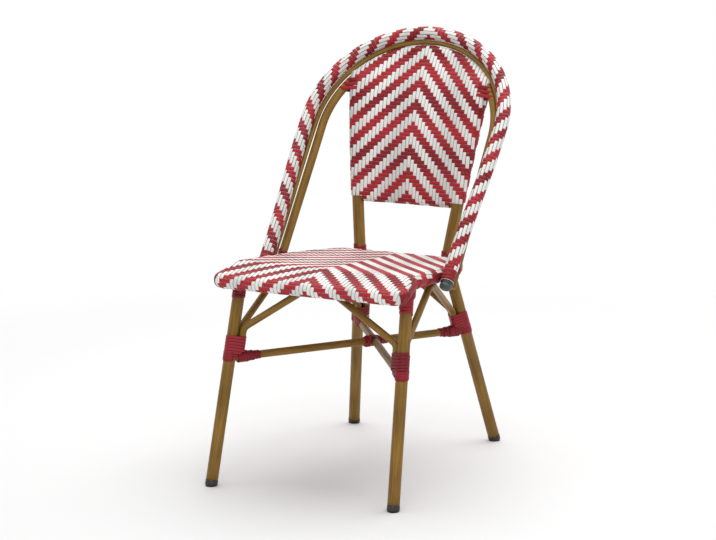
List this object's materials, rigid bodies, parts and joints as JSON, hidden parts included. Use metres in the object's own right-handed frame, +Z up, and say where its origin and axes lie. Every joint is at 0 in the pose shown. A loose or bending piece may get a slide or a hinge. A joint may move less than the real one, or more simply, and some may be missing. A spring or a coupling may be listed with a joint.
{
  "type": "bistro chair",
  "caption": "Armless bistro chair: bent tube frame with a wood-look finish, chevron-woven seat and back, a leaning woven hoop, crossed stretchers and flat-strand lashings.",
  "frame": {"origin": "on the floor, below the middle of the space the chair takes", "axes": "+Z up, -Y to the front, where the sitter's knees are, +X to the right in a front view"},
  "size_m": [0.4794, 0.6402, 0.8942],
  "materials": {
    "frame_tube": "satin wood-look coating",
    "weave": "woven flat strands, red and white",
    "hoop_weave": "woven flat strands, red and white",
    "lashing": "satin flat strand",
    "glide": "satin black",
    "plug": "satin dark grey-green"
  },
  "bodies": {
    "root": {"seat_ring": "frame_tube", "seat_front_bar": "frame_tube", "seat_middle_bar": "frame_tube", "front_leg_left": "frame_tube", "front_leg_right": "frame_tube", "rear_leg_left": "frame_tube", "rear_leg_right": "frame_tube", "outer_hoop": "frame_tube", "inner_hoop": "frame_tube", "trim_rod": "frame_tube", "back_rail": "frame_tube", "front_bow": "frame_tube", "rear_bow": "frame_tube", "left_bow": "frame_tube", "right_bow": "frame_tube", "stretcher_through": "frame_tube", "stretcher_front_half": "frame_tube", "stretcher_rear_half": "frame_tube", "seat_weave": "weave", "back_weave": "weave", "hoop_weave": "hoop_weave", "leg_lashing_front_left": "lashing", "leg_lashing_front_right": "lashing", "leg_lashing_rear_left": "lashing", "leg_lashing_rear_right": "lashing", "leg_top_lashing_left": "lashing", "leg_top_lashing_right": "lashing", "post_lashing_left": "lashing", "post_lashing_right": "lashing", "hoop_lashing_left": "lashing", "hoop_lashing_right": "lashing", "stretcher_lashing_front_left": "lashing", "stretcher_lashing_front_right": "lashing", "stretcher_lashing_rear_left": "lashing", "stretcher_lashing_rear_right": "lashing", "crossing_lashing_front": "lashing", "crossing_lashing_rear": "lashing", "foot_glide_front_left": "glide", "foot_glide_front_right": "glide", "foot_glide_rear_left": "glide", "foot_glide_rear_right": "glide", "hoop_plug_left": "plug", "hoop_plug_right": "plug"}
  },
  "joints": []
}
